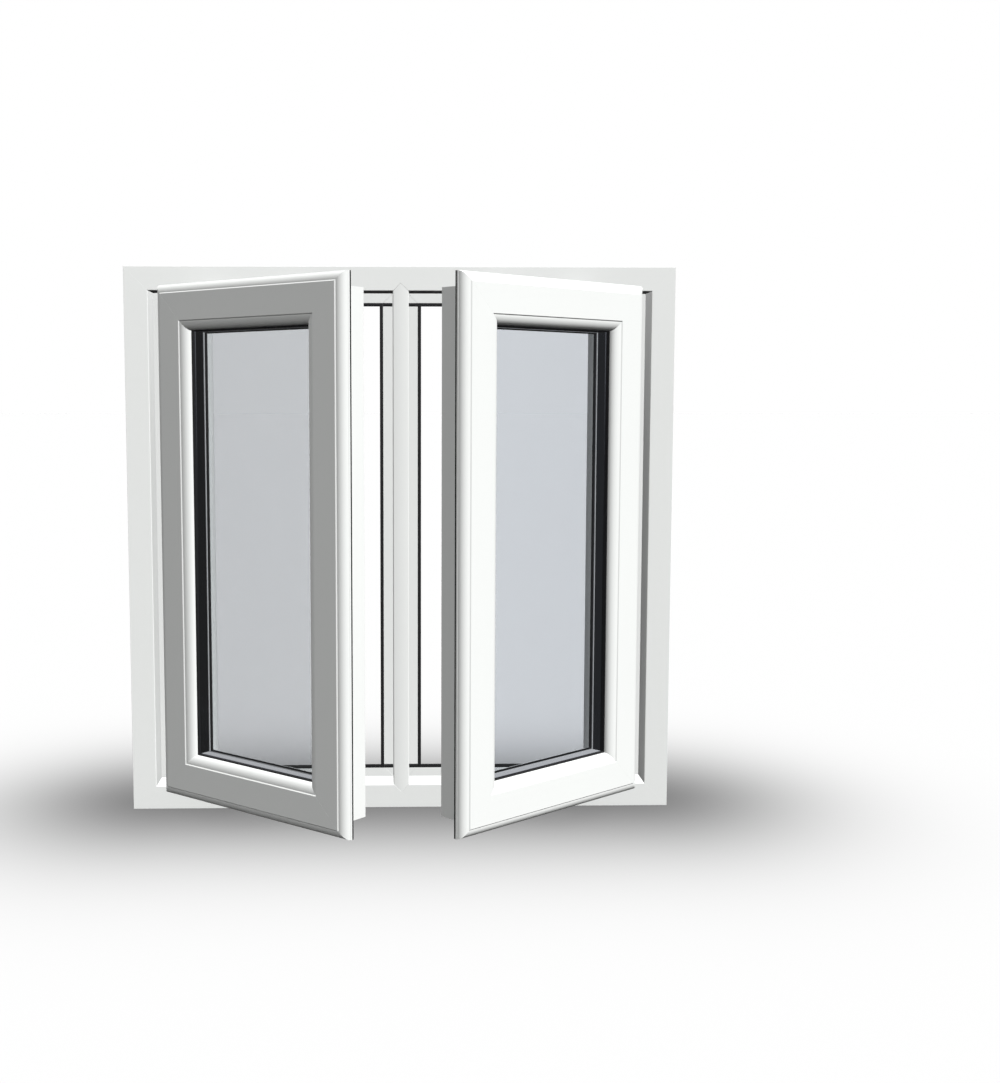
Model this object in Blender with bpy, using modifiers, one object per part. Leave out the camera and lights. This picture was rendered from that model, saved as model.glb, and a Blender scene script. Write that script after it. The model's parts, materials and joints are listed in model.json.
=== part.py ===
"""A white uPVC double casement window: two side-hung sashes in a frame with a fixed mullion.

Metres, +Z up. X runs along the window, Y runs from the outside (-Y) to the room (+Y). The origin is
the middle of the cill's underside. The sashes stand open, each carried on a friction stay at its head
and one at its foot, which is the rest pose. Left and right are as seen from outside.

Every bar of a frame or sash has its section drawn in (depth, inset): depth runs towards the room, and
inset runs from the outer edge of that frame or sash towards the middle of the opening.
"""

import math

import bmesh
import bpy
from mathutils import Matrix, Vector

# Gap kept between pieces that touch.
GAP = 0.0003

# Outer frame.
FRAME_WIDTH = 0.900
FRAME_HEIGHT = 0.900
FRAME_DEPTH = 0.070
NOSE_WIDTH = 0.039
REBATE_DEPTH = 0.055
UPSTAND_HEIGHT = 0.0215
MULLION_NOSE_HALF = 0.013
EDGE_ROUND = 0.0012
NOSE_Y = -FRAME_DEPTH / 2

# Weather gasket on the tip of the upstand.
FRAME_GASKET_WIDTH = 0.0056
FRAME_GASKET_DEPTH = 0.0052

# Sash, measured from the back plane of its flange: faces towards the outside are negative.
OVERLAP = 0.008
HARDWARE_GAP = 0.012
FLANGE_EDGE = 0.0035
FACE_DEPTH = 0.017
OVOLO_TOP = 0.0155
OVOLO_WIDTH = 0.0135
QUIRK_WIDTH = 0.0015
FACE_INSET = 0.059
SIGHT_LINE = 0.075
LIP_DEPTH = 0.0045
LIP_BACK = 0.0037
GLAZING_FLOOR = 0.062
BODY_DEPTH = 0.052
SEAL_GAP = 0.003

# Sealed glass unit and what holds it in.
GLASS_THICKNESS = 0.004
CAVITY = 0.020
PANE_INSET = 0.065
SPACER_INSET = 0.067
SPACER_SIGHT = 0.077
GASKET_SIGHT = 0.0765
BEAD_SIGHT = 0.076
BEAD_BACK = 0.068
BEAD_SEAL = 0.003

# Friction stay. All its pivots lie on one line when the sash is shut. The short arm turns on a pivot
# fixed in the track, and the long arm on the shoe that slides in it. The two arms stay parallel, so the
# long arm is longer by the distance between their joints on the sash.
OPEN_ANGLE = math.radians(41.3)
PIVOT_DEPTH = 0.011
SHORT_JOINT_INSET = 0.0745
SHORT_ARM = 0.0805
LONG_JOINT_INSET = 0.168
LONG_ARM = SHORT_ARM + LONG_JOINT_INSET - SHORT_JOINT_INSET
ARM_WIDTH = 0.012
ARM_THICKNESS = 0.0025
PIVOT_RADIUS = 0.0025
COLLAR_RADIUS = 0.0035
TRACK_WIDTH = 0.016
TRACK_WALL = 0.0012
TRACK_HEIGHT = 0.0037
TRACK_LIP_REACH = 0.0036
TRACK_LIP_THICKNESS = 0.0008
TRACK_JAMB_GAP = 0.026
TRACK_PAST_SHOE = 0.0085
SHOE_LENGTH = 0.016
# Heights above the underside of the track.
ARM_LEVEL = 0.0049
SASH_ARM_LEVEL = HARDWARE_GAP - 2 * GAP - ARM_THICKNESS
STUD_TOP = HARDWARE_GAP - 2 * GAP

# Cockspur handle, on the room side of the lock stile. Locked, the lever hangs down and its spur reaches
# over the striker on the mullion. At rest it is turned a quarter, so that the lever lies level.
HANDLE_INSET = 0.0345
HANDLE_HEIGHT = 0.440
BASE_WIDTH = 0.019
BASE_LENGTH = 0.062
BASE_THICKNESS = 0.008
HUB_RADIUS = 0.0065
SPUR_STANDOFF = 0.0231
SPUR_LENGTH = 0.0315
SPUR_HEIGHT = 0.011
LEVER_THICKNESS = 0.0055
LEVER_LENGTH = 0.086
LEVER_END_RADIUS = 0.0055
STRIKER_WIDTH = 0.012
STRIKER_LENGTH = 0.040
STRIKER_THICKNESS = 0.0015

# Worked out from the above.
UPSTAND_INSET = NOSE_WIDTH + UPSTAND_HEIGHT
MULLION_HALF = MULLION_NOSE_HALF + UPSTAND_HEIGHT
SASH_WIDTH = FRAME_WIDTH / 2 - NOSE_WIDTH - MULLION_NOSE_HALF + 2 * OVERLAP
SASH_HEIGHT = FRAME_HEIGHT - 2 * (NOSE_WIDTH - OVERLAP)
BODY_INSET = OVERLAP + HARDWARE_GAP
FLANGE_Y = NOSE_Y - SEAL_GAP
TRACK_Y = FLANGE_Y + PIVOT_DEPTH
INNER_PANE_DEPTH = GLASS_THICKNESS + CAVITY
BEAD_DEPTH = INNER_PANE_DEPTH + GLASS_THICKNESS + BEAD_SEAL

ROUND_STEPS = 12
SIDES = {"left": 1, "right": -1}
LEVELS = {"bottom": 1, "top": -1}


def clear_scene():
    """Removes whatever the scene holds."""
    for obj in list(bpy.data.objects):
        bpy.data.objects.remove(obj, do_unlink=True)


def new_collection(name):
    collection = bpy.data.collections.new(name)
    bpy.context.scene.collection.children.link(collection)
    return collection


def new_material(name, color, roughness, metallic=0.0, alpha=1.0):
    material = bpy.data.materials.new(name)
    material.use_nodes = True
    shader = material.node_tree.nodes["Principled BSDF"]
    shader.inputs["Base Color"].default_value = (*color, 1.0)
    shader.inputs["Roughness"].default_value = roughness
    shader.inputs["Metallic"].default_value = metallic
    shader.inputs["Alpha"].default_value = alpha
    return material


clear_scene()
WINDOW = new_collection("casement_window")
CUTTERS = new_collection("cutters")
MATERIALS = {
    "upvc": new_material("white_upvc", (0.80, 0.81, 0.79), 0.35),
    "rubber": new_material("black_gasket", (0.014, 0.014, 0.015), 0.6),
    "glass": new_material("clear_glass", (0.72, 0.75, 0.79), 0.02, alpha=0.35),
    "spacer": new_material("black_spacer", (0.020, 0.021, 0.024), 0.45),
    "steel": new_material("stainless_steel", (0.60, 0.60, 0.61), 0.32, metallic=1.0),
    "shoe": new_material("nylon_shoe", (0.045, 0.045, 0.05), 0.5),
    "handle": new_material("white_handle", (0.83, 0.84, 0.83), 0.28),
}


def add_object(name, mesh, material, parent=None, location=(0, 0, 0), rotation=(0, 0, 0)):
    """Links a mesh into the window under its name, in its place."""
    mesh.name = name
    mesh.materials.clear()
    mesh.materials.append(MATERIALS[material])
    obj = bpy.data.objects.new(name, mesh)
    WINDOW.objects.link(obj)
    obj.parent = parent
    obj.location = location
    obj.rotation_euler = rotation
    return obj


def add_empty(name, location, angle):
    """An empty on a joint's axis, turned as the piece that it carries."""
    empty = bpy.data.objects.new(name, None)
    empty.empty_display_size = 0.02
    empty.location = location
    empty.rotation_euler = (0, 0, angle)
    WINDOW.objects.link(empty)
    return empty


def add_cutter(name, mesh, location=(0, 0, 0)):
    """A helper for Booleans, left out of the window itself."""
    obj = bpy.data.objects.new(name, mesh)
    obj.hide_render = True
    obj.display_type = "WIRE"
    obj.location = location
    CUTTERS.objects.link(obj)
    return obj


def add_boolean(obj, other, operation):
    modifier = obj.modifiers.new(other.name, "BOOLEAN")
    modifier.operation = operation
    modifier.object = other


def arc(center, radii, start, end, steps):
    """Points of an elliptical arc; angles in degrees, counter-clockwise from the first axis."""
    angles = [math.radians(start + (end - start) * i / steps) for i in range(steps + 1)]
    return [(center[0] + radii[0] * math.cos(a), center[1] + radii[1] * math.sin(a)) for a in angles]


def circle(center, radius, steps=ROUND_STEPS):
    return arc(center, (radius, radius), 0, 360 - 360 / steps, steps - 1)


def rectangle(width, height):
    w, h = width / 2, height / 2
    return [(-w, -h), (w, -h), (w, h), (-w, h)]


def baked(obj):
    """The evaluated mesh of a helper object, with its loose caps welded; the object is removed."""
    bpy.context.view_layer.update()
    graph = bpy.context.evaluated_depsgraph_get()
    mesh = bpy.data.meshes.new_from_object(obj.evaluated_get(graph))
    bpy.data.objects.remove(obj, do_unlink=True)
    welded = bmesh.new()
    welded.from_mesh(mesh)
    bmesh.ops.remove_doubles(welded, verts=welded.verts, dist=1e-6)
    welded.to_mesh(mesh)
    welded.free()
    return mesh


def extruded(outlines, thickness):
    """A flat outline, with any holes in it, thickened along Z."""
    curve = bpy.data.curves.new("outline", "CURVE")
    curve.dimensions = "2D"
    curve.fill_mode = "BOTH"
    curve.extrude = thickness / 2
    for points in outlines:
        spline = curve.splines.new("POLY")
        spline.points.add(len(points) - 1)
        for point, (x, y) in zip(spline.points, points):
            point.co = (x, y, 0, 1)
        spline.use_cyclic_u = True
    obj = bpy.data.objects.new("outline", curve)
    WINDOW.objects.link(obj)
    return baked(obj)


def turned(profile):
    """A solid of revolution about Z. The profile is (radius, z), from the top of the axis to its foot."""
    mesh = bpy.data.meshes.new("profile")
    edges = [(i, i + 1) for i in range(len(profile) - 1)]
    mesh.from_pydata([(radius, 0, z) for radius, z in profile], edges, [])
    obj = bpy.data.objects.new("profile", mesh)
    WINDOW.objects.link(obj)
    screw = obj.modifiers.new("Screw", "SCREW")
    screw.steps = ROUND_STEPS
    screw.render_steps = ROUND_STEPS
    screw.use_merge_vertices = True
    screw.merge_threshold = 0.00001
    solid = baked(obj)
    solid.shade_smooth()
    solid.set_sharp_from_angle(angle=math.radians(40))
    return solid


def box(size):
    """A box centred on the origin."""
    mesh = bpy.data.meshes.new("box")
    block = bmesh.new()
    bmesh.ops.create_cube(block, size=1.0, matrix=Matrix.Diagonal((*size, 1.0)))
    block.to_mesh(mesh)
    block.free()
    return mesh


def along_x(mesh):
    """Turns an extruded section so that depth runs along Y, inset along Z and length along X."""
    mesh.transform(Matrix(((0, 0, 1, 0), (1, 0, 0, 0), (0, 1, 0, 0), (0, 0, 0, 1))))
    return mesh


def mitred_bar(section, outer_length):
    """A bar of a mitred frame: each end slides back by its inset, less half the gap at the weld."""
    mesh = along_x(extruded([section], outer_length))
    end_gap = GAP / math.sqrt(2)
    for vertex in mesh.vertices:
        end = 1 if vertex.co.x > 0 else -1
        vertex.co.x = end * (outer_length / 2 - vertex.co.z - end_gap)
    return mesh


def add_mitred_ring(names, section, size, center, material, parent=None):
    """Four mitred bars around a rectangle. Names are given for bottom, left, top and right."""
    width, height = size
    turns = (0, math.pi / 2, math.pi, -math.pi / 2)
    for name, turn in zip(names, turns):
        upright = abs(math.sin(turn)) > 0.5
        mesh = mitred_bar(section, height if upright else width)
        outward = width / 2 if upright else height / 2
        offset = Vector((-math.sin(turn), 0, -math.cos(turn))) * outward
        add_object(name, mesh, material, parent, Vector(center) + offset, (0, turn, 0))


def add_flat_ring(name, insets, depths, size, center, material, parent=None):
    """One closed ring of rectangular section, between two insets and two depths."""
    outer, inner = insets
    front, back = depths
    outlines = [rectangle(size[0] - 2 * inset, size[1] - 2 * inset) for inset in (outer, inner)]
    mesh = extruded(outlines, back - front)
    location = Vector(center) + Vector((0, (front + back) / 2, 0))
    add_object(name, mesh, material, parent, location, (math.pi / 2, 0, 0))


def frame_section():
    """Nose, rebate and upstand of the outer frame."""
    r = EDGE_ROUND
    nose = arc((r, NOSE_WIDTH - r), (r, r), 180, 90, 3)
    front_tip = arc((REBATE_DEPTH + r, UPSTAND_INSET - r), (r, r), 180, 90, 3)
    back_tip = arc((FRAME_DEPTH - r, UPSTAND_INSET - r), (r, r), 90, 0, 3)
    return [(0, 0), *nose, (REBATE_DEPTH, NOSE_WIDTH), *front_tip, *back_tip, (FRAME_DEPTH, 0)]


def mullion_section():
    """The T of the mullion: the frame's nose and upstand on both sides of its middle."""
    r = EDGE_ROUND
    half = [
        *arc((r, MULLION_NOSE_HALF - r), (r, r), 180, 90, 3),
        (REBATE_DEPTH, MULLION_NOSE_HALF),
        *arc((REBATE_DEPTH + r, MULLION_HALF - r), (r, r), 180, 90, 3),
        *arc((FRAME_DEPTH - r, MULLION_HALF - r), (r, r), 90, 0, 3),
    ]
    return half + [(depth, -inset) for depth, inset in reversed(half)]


def sash_section():
    """Flange with an ovolo on both edges of its flat face, and the body behind it."""
    ovolo_center = -FLANGE_EDGE
    outer = arc(
        (ovolo_center, OVOLO_WIDTH), (OVOLO_TOP - FLANGE_EDGE, OVOLO_WIDTH), 270, 180, 8
    )
    inner_start = FACE_INSET + QUIRK_WIDTH
    inner = arc(
        (-LIP_DEPTH, inner_start),
        (OVOLO_TOP - LIP_DEPTH, SIGHT_LINE - inner_start),
        180,
        90,
        8,
    )
    return [
        (0, 0),
        *outer,
        (-FACE_DEPTH, OVOLO_WIDTH + QUIRK_WIDTH),
        (-FACE_DEPTH, FACE_INSET),
        *inner,
        (-LIP_BACK, SIGHT_LINE),
        (-LIP_BACK, GLAZING_FLOOR),
        (BODY_DEPTH, GLAZING_FLOOR),
        (BODY_DEPTH, BODY_INSET),
        (0, BODY_INSET),
    ]


def bead_section():
    """Glazing bead: a foot on the glazing floor and a face that slopes away from the glass."""
    foot = GLAZING_FLOOR + GAP
    return [
        (BEAD_DEPTH, foot),
        (BEAD_DEPTH, BEAD_SIGHT),
        (BEAD_DEPTH + 0.003, BEAD_SIGHT),
        *arc((BODY_DEPTH - 0.002, BEAD_BACK), (0.002, 0.002), 60, 0, 3),
        (BODY_DEPTH, foot),
    ]


def notch_prism(gap):
    """The V that a mullion end fills in the head or cill, seen along Y with its point down."""
    reach = 0.010
    half = MULLION_HALF + reach
    rise = half - gap * math.sqrt(2)
    outline = [(0, -gap * math.sqrt(2)), (half, rise), (-half, rise)]
    mesh = extruded([outline], FRAME_DEPTH + 2 * reach)
    mesh.transform(Matrix.Rotation(math.pi / 2, 4, "X"))
    return mesh


def build_frame():
    """Head, cill, jambs and mullion, with the weather gasket of each opening."""
    center = (0, NOSE_Y, FRAME_HEIGHT / 2)
    names = ("frame_cill", "frame_left_jamb", "frame_head", "frame_right_jamb")
    add_mitred_ring(names, frame_section(), (FRAME_WIDTH, FRAME_HEIGHT), center, "upvc")

    point = NOSE_WIDTH - MULLION_NOSE_HALF
    mesh = along_x(extruded([mullion_section()], FRAME_HEIGHT))
    mullion = add_object("frame_mullion", mesh, "upvc", location=center, rotation=(0, math.pi / 2, 0))
    reach = FRAME_HEIGHT / 2 - point
    hexagon = [
        (MULLION_HALF + 0.01, reach - MULLION_HALF - 0.01),
        (0, reach),
        (-MULLION_HALF - 0.01, reach - MULLION_HALF - 0.01),
    ]
    pointed = hexagon + [(-x, -z) for x, z in hexagon]
    block = extruded([pointed], FRAME_DEPTH + 0.02)
    block.transform(Matrix.Rotation(math.pi / 2, 4, "X"))
    add_boolean(mullion, add_cutter("mullion_points", block, (0, 0, FRAME_HEIGHT / 2)), "INTERSECT")

    for name, level, height in (("frame_cill", 1, point), ("frame_head", -1, FRAME_HEIGHT - point)):
        cutter = add_cutter(f"{name}_notch", notch_prism(GAP), (0, 0, height))
        cutter.rotation_euler = (0, 0 if level > 0 else math.pi, 0)
        add_boolean(bpy.data.objects[name], cutter, "DIFFERENCE")

    opening = (FRAME_WIDTH / 2 - UPSTAND_INSET - MULLION_HALF, FRAME_HEIGHT - 2 * UPSTAND_INSET)
    middle = MULLION_HALF + opening[0] / 2
    depths = (REBATE_DEPTH - GAP - FRAME_GASKET_DEPTH, REBATE_DEPTH - GAP)
    for side, sign in SIDES.items():
        add_flat_ring(
            f"{side}_frame_gasket",
            (-FRAME_GASKET_WIDTH, 0),
            depths,
            opening,
            (-sign * middle, NOSE_Y, FRAME_HEIGHT / 2),
            "rubber",
        )


def stay_pivots(sign):
    """Plan positions, at rest, of the stay's pivots: fixed, short joint, long joint and shoe."""
    hinge_x = FRAME_WIDTH / 2 - NOSE_WIDTH + OVERLAP
    fixed = Vector((-sign * (hinge_x - SHORT_JOINT_INSET - SHORT_ARM), TRACK_Y))
    outwards = Vector((-sign * math.cos(OPEN_ANGLE), -math.sin(OPEN_ANGLE)))
    along_sash = Vector((sign * math.cos(OPEN_ANGLE), -math.sin(OPEN_ANGLE)))
    short_joint = fixed + SHORT_ARM * outwards
    long_joint = short_joint + (LONG_JOINT_INSET - SHORT_JOINT_INSET) * along_sash
    shoe = long_joint - LONG_ARM * outwards
    return fixed, short_joint, long_joint, shoe


def add_sash_bars(side, sash, size, center):
    """The welded sash: four mitred bars, and the flange gasket round its back."""
    left, right = ("hinge", "lock") if side == "left" else ("lock", "hinge")
    names = (f"{side}_bottom_rail", f"{side}_{left}_stile", f"{side}_top_rail", f"{side}_{right}_stile")
    add_mitred_ring(names, sash_section(), size, center, "upvc", sash)
    insets = (0.0010, 0.0050)
    add_flat_ring(f"{side}_flange_gasket", insets, (GAP, SEAL_GAP - GAP), size, center, "rubber", sash)


def add_glazing(side, sash, size, center):
    """The sealed unit, the gasket it is pressed against, and the beads that hold it in."""
    outer_seal = (-LIP_BACK + GAP, -GAP)
    insets = (GLAZING_FLOOR + 0.004, GASKET_SIGHT)
    add_flat_ring(f"{side}_outer_gasket", insets, outer_seal, size, center, "rubber", sash)
    pane = (size[0] - 2 * PANE_INSET, GLASS_THICKNESS, size[1] - 2 * PANE_INSET)
    for name, front in (("outer_pane", 0.0), ("inner_pane", INNER_PANE_DEPTH)):
        location = Vector(center) + Vector((0, front + GLASS_THICKNESS / 2, 0))
        add_object(f"{side}_{name}", box(pane), "glass", sash, location)
    depths = (GLASS_THICKNESS + GAP, INNER_PANE_DEPTH - GAP)
    insets = (SPACER_INSET, SPACER_SIGHT)
    add_flat_ring(f"{side}_spacer_bar", insets, depths, size, center, "spacer", sash)
    names = tuple(f"{side}_{place}_bead" for place in ("bottom", "left", "top", "right"))
    add_mitred_ring(names, bead_section(), size, center, "upvc", sash)


def bar_outline(start, end, radius):
    """A flat bar with round ends, along X."""
    tail = arc((start, 0), (radius, radius), 90, 270, 6)
    return tail + arc((end, 0), (radius, radius), -90, 90, 6)


def add_stud(obj, name, x, levels):
    """Joins a stepped stud to a flat piece: a collar, and the pivot that stands on it."""
    foot, shoulder, top = levels
    profile = [
        (0, top),
        (PIVOT_RADIUS, top),
        (PIVOT_RADIUS, shoulder),
        (COLLAR_RADIUS, shoulder),
        (COLLAR_RADIUS, foot),
        (0, foot),
    ]
    stud = add_cutter(name, turned(profile))
    stud.parent = obj
    stud.location = (x, 0, 0)
    add_boolean(obj, stud, "UNION")


def level_turn(sign, level):
    """Turns a piece drawn for the foot of a left sash over for the head, or round for a right sash."""
    return (0 if level > 0 else math.pi, 0, 0 if sign > 0 else math.pi)


def level_height(level):
    """World height of the underside of a stay's track, or of the back of the track at the head."""
    height = NOSE_WIDTH + GAP
    return height if level > 0 else FRAME_HEIGHT - height


def track_section():
    """A channel with its two lips turned in over the shoe, seen along its length."""
    half = TRACK_WIDTH / 2
    lip_foot = TRACK_HEIGHT - TRACK_LIP_THICKNESS
    right = [
        (half, 0),
        (half, TRACK_HEIGHT),
        (half - TRACK_LIP_REACH, TRACK_HEIGHT),
        (half - TRACK_LIP_REACH, lip_foot),
        (half - TRACK_WALL, lip_foot),
        (half - TRACK_WALL, TRACK_WALL),
    ]
    return right + [(-y, z) for y, z in reversed(right)]


def add_track(side, sign, place, level, fixed):
    """The track on the rebate floor, from near the jamb to just past the shoe of a shut sash."""
    near = FRAME_WIDTH / 2 - NOSE_WIDTH - TRACK_JAMB_GAP - abs(fixed.x)
    far = 2 * (LONG_JOINT_INSET - SHORT_JOINT_INSET) + TRACK_PAST_SHOE
    mesh = along_x(extruded([track_section()], near + far))
    mesh.transform(Matrix.Translation(((far - near) / 2, 0, 0)))
    location = (fixed.x, fixed.y, level_height(level))
    name = f"{side}_{place}_track"
    track = add_object(name, mesh, "steel", None, location, level_turn(sign, level))
    heights = (TRACK_WALL / 2, ARM_LEVEL - GAP, ARM_LEVEL + ARM_THICKNESS)
    add_stud(track, f"{name}_pivot", 0, heights)


def add_link_arm(name, level, length, joint_at, pivot):
    """A flat arm along the pivot's X axis: a hole at the track, a stud for the sash arm."""
    hole_x = 0 if joint_at else length
    outlines = [bar_outline(0, length, ARM_WIDTH / 2), circle((hole_x, 0), PIVOT_RADIUS + GAP)]
    mesh = extruded(outlines, ARM_THICKNESS)
    mesh.transform(Matrix.Translation((0, 0, ARM_LEVEL + ARM_THICKNESS / 2)))
    flip = 0 if level > 0 else math.pi
    arm = add_object(name, mesh, "steel", pivot, (0, 0, level_height(level)), (flip, 0, 0))
    heights = (ARM_LEVEL + ARM_THICKNESS / 2, SASH_ARM_LEVEL - GAP, STUD_TOP)
    add_stud(arm, f"{name}_joint", joint_at, heights)


def add_sash_arm(side, sign, place, level, sash):
    """The bar screwed to the edge of the sash, pivoted on the studs of both link arms."""
    apart = LONG_JOINT_INSET - SHORT_JOINT_INSET
    outlines = [
        bar_outline(0, apart, ARM_WIDTH / 2),
        circle((0, 0), PIVOT_RADIUS + GAP),
        circle((apart, 0), PIVOT_RADIUS + GAP),
    ]
    mesh = extruded(outlines, ARM_THICKNESS)
    mesh.transform(Matrix.Translation((0, 0, SASH_ARM_LEVEL + ARM_THICKNESS / 2)))
    location = (0, 0, level_height(level))
    name = f"{side}_{place}_sash_arm"
    add_object(name, mesh, "steel", sash, location, level_turn(sign, level))


def add_shoe(side, place, level, pivot):
    """The block that slides in the track, with the stud that the long arm turns on."""
    foot = TRACK_WALL + GAP
    top = TRACK_HEIGHT - TRACK_LIP_THICKNESS - GAP
    mesh = box((SHOE_LENGTH, TRACK_WIDTH - 2 * TRACK_WALL - 2 * GAP, top - foot))
    mesh.transform(Matrix.Translation((0, 0, (foot + top) / 2)))
    flip = 0 if level > 0 else math.pi
    name = f"{side}_{place}_shoe"
    shoe = add_object(name, mesh, "shoe", pivot, (0, 0, level_height(level)), (flip, 0, 0))
    heights = ((foot + top) / 2, ARM_LEVEL - GAP, ARM_LEVEL + ARM_THICKNESS)
    add_stud(shoe, f"{name}_stud", 0, heights)


def along_y(mesh, sign, offset):
    """Stands a flat outline (across, up) upright, facing the room, its near face at `offset`."""
    mesh.transform(Matrix.Rotation(math.pi / 2, 4, "X"))
    mesh.transform(Matrix.Translation((0, offset, 0)))
    if sign < 0:
        mesh.transform(Matrix.Diagonal((-1, 1, 1, 1)))
        mesh.flip_normals()
    return mesh


def round_edges(obj, width):
    bevel = obj.modifiers.new("Bevel", "BEVEL")
    bevel.width = width
    bevel.segments = 2
    bevel.limit_method = "ANGLE"
    bevel.angle_limit = math.radians(40)


def add_handle(side, sign, sash, pivot):
    """A cockspur handle: base and hub on the stile, and the lever with its spur, turned to unlocked."""
    straight = BASE_LENGTH / 2 - BASE_WIDTH / 2
    radii = (BASE_WIDTH / 2, BASE_WIDTH / 2)
    outline = arc((0, straight), radii, 0, 180, 8) + arc((0, -straight), radii, 180, 360, 8)
    mesh = along_y(extruded([outline], BASE_THICKNESS), sign, GAP + BASE_THICKNESS / 2)
    location = sash.matrix_world.inverted() @ pivot.matrix_world.translation
    base = add_object(f"{side}_handle_base", mesh, "handle", sash, location)
    hub_height = SPUR_STANDOFF - GAP - BASE_THICKNESS / 2
    hub = extruded([circle((0, 0), HUB_RADIUS, 16)], hub_height)
    hub_cutter = add_cutter(f"{side}_hub", along_y(hub, sign, BASE_THICKNESS / 2 + hub_height / 2))
    hub_cutter.parent = base
    add_boolean(base, hub_cutter, "UNION")

    tip = LEVER_END_RADIUS
    lean = math.degrees(math.asin((HUB_RADIUS - tip) / LEVER_LENGTH))
    spur = [(SPUR_LENGTH, -SPUR_HEIGHT / 2), (SPUR_LENGTH, SPUR_HEIGHT / 2)]
    outline = [
        *arc((0, -LEVER_LENGTH), (tip, tip), -lean, -180 + lean, 8),
        *arc((0, 0), (HUB_RADIUS, HUB_RADIUS), 180 + lean, 45, 8),
        spur[1],
        spur[0],
        (HUB_RADIUS, -SPUR_HEIGHT / 2),
    ]
    mesh = extruded([outline], LEVER_THICKNESS)
    mesh.transform(Matrix.Rotation(-math.pi / 2, 4, "Z"))
    along_y(mesh, sign, SPUR_STANDOFF + LEVER_THICKNESS / 2)
    lever = add_object(f"{side}_handle_lever", mesh, "handle", pivot)
    round_edges(lever, 0.0015)


def build_sash(side, sign):
    """One sash with its glass, its stays and its handle, each on the empty of its joint."""
    fixed, short_joint, long_joint, shoe = stay_pivots(sign)
    turn = -sign * OPEN_ANGLE
    outwards = math.atan2(short_joint.y - fixed.y, short_joint.x - fixed.x)
    short_pivot = add_empty(f"{side}_short_arm_pivot", (*fixed, 0), outwards)
    sash = add_empty(f"{side}_sash_pivot", (*short_joint, 0), turn)
    long_pivot = add_empty(f"{side}_long_arm_pivot", (*long_joint, 0), outwards + math.pi)
    shoe_pivot = add_empty(f"{side}_shoe_pivot", (*shoe, 0), 0)

    center = (sign * (SASH_WIDTH / 2 - SHORT_JOINT_INSET), -PIVOT_DEPTH, FRAME_HEIGHT / 2)
    size = (SASH_WIDTH, SASH_HEIGHT)
    add_sash_bars(side, sash, size, center)
    add_glazing(side, sash, size, center)

    bpy.context.view_layer.update()
    handle_x = SASH_WIDTH - BODY_INSET - HANDLE_INSET - SHORT_JOINT_INSET
    place = sash.matrix_world @ Vector((sign * handle_x, BODY_DEPTH - PIVOT_DEPTH, HANDLE_HEIGHT))
    handle_pivot = add_empty(f"{side}_handle_pivot", place, turn)
    bpy.context.view_layer.update()
    add_handle(side, sign, sash, handle_pivot)

    for place, level in LEVELS.items():
        add_track(side, sign, place, level, fixed)
        add_link_arm(f"{side}_{place}_short_arm", level, SHORT_ARM, SHORT_ARM, short_pivot)
        add_link_arm(f"{side}_{place}_long_arm", level, LONG_ARM, 0, long_pivot)
        add_sash_arm(side, sign, place, level, sash)
        add_shoe(side, place, level, shoe_pivot)


def add_striker(side, sign):
    """The plate on the mullion that the cockspur closes over."""
    mesh = box((STRIKER_WIDTH, STRIKER_THICKNESS, STRIKER_LENGTH))
    x = -sign * (MULLION_HALF - STRIKER_WIDTH / 2 - 0.001)
    y = FRAME_DEPTH / 2 + GAP + STRIKER_THICKNESS / 2
    striker = add_object(f"{side}_striker", mesh, "steel", None, (x, y, HANDLE_HEIGHT))
    round_edges(striker, 0.0005)


def main():
    build_frame()
    for side, sign in SIDES.items():
        build_sash(side, sign)
        add_striker(side, sign)


main()
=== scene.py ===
"""Looks of a white double casement window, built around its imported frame.

Metres, +Z up. X runs along the window, Y from the outside (-Y) to the room (+Y). Profiles are drawn in
(depth, inset): depth runs towards the room and inset from the outer edge of a frame or sash inwards.
"""

import json
import logging
import math
from dataclasses import dataclass, field, replace
from enum import Enum

import bmesh
import bpy
import numpy as np
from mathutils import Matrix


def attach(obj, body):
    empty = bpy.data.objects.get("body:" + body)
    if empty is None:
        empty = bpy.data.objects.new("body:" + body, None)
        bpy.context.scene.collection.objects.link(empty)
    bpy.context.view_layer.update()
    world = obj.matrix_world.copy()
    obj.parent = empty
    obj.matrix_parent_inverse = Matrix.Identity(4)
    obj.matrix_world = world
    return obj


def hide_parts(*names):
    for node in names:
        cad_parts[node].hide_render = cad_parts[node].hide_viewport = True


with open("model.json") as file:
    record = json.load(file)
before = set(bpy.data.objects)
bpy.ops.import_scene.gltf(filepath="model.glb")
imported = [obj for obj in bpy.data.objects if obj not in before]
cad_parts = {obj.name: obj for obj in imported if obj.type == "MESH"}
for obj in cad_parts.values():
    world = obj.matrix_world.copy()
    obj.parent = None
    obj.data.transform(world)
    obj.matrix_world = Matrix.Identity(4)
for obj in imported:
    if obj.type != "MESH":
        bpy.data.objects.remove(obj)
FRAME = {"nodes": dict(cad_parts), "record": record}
LOG = logging.getLogger("casement_window")

Array = np.ndarray
Socket = bpy.types.NodeSocket
Tree = bpy.types.NodeTree
Object = bpy.types.Object
Pair = tuple[float, float]

UP = np.array([0.0, 0.0, 1.0])
# Signs of a rectangle's corners, anticlockwise from the lower left.
CORNERS = np.array([[-1.0, -1.0], [1.0, -1.0], [1.0, 1.0], [-1.0, 1.0]])
CLEAR = 0.0003  # gap between pieces that only touch
WELD_HAIR = 0.00003  # half the width of the line at a welded mitre


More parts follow.
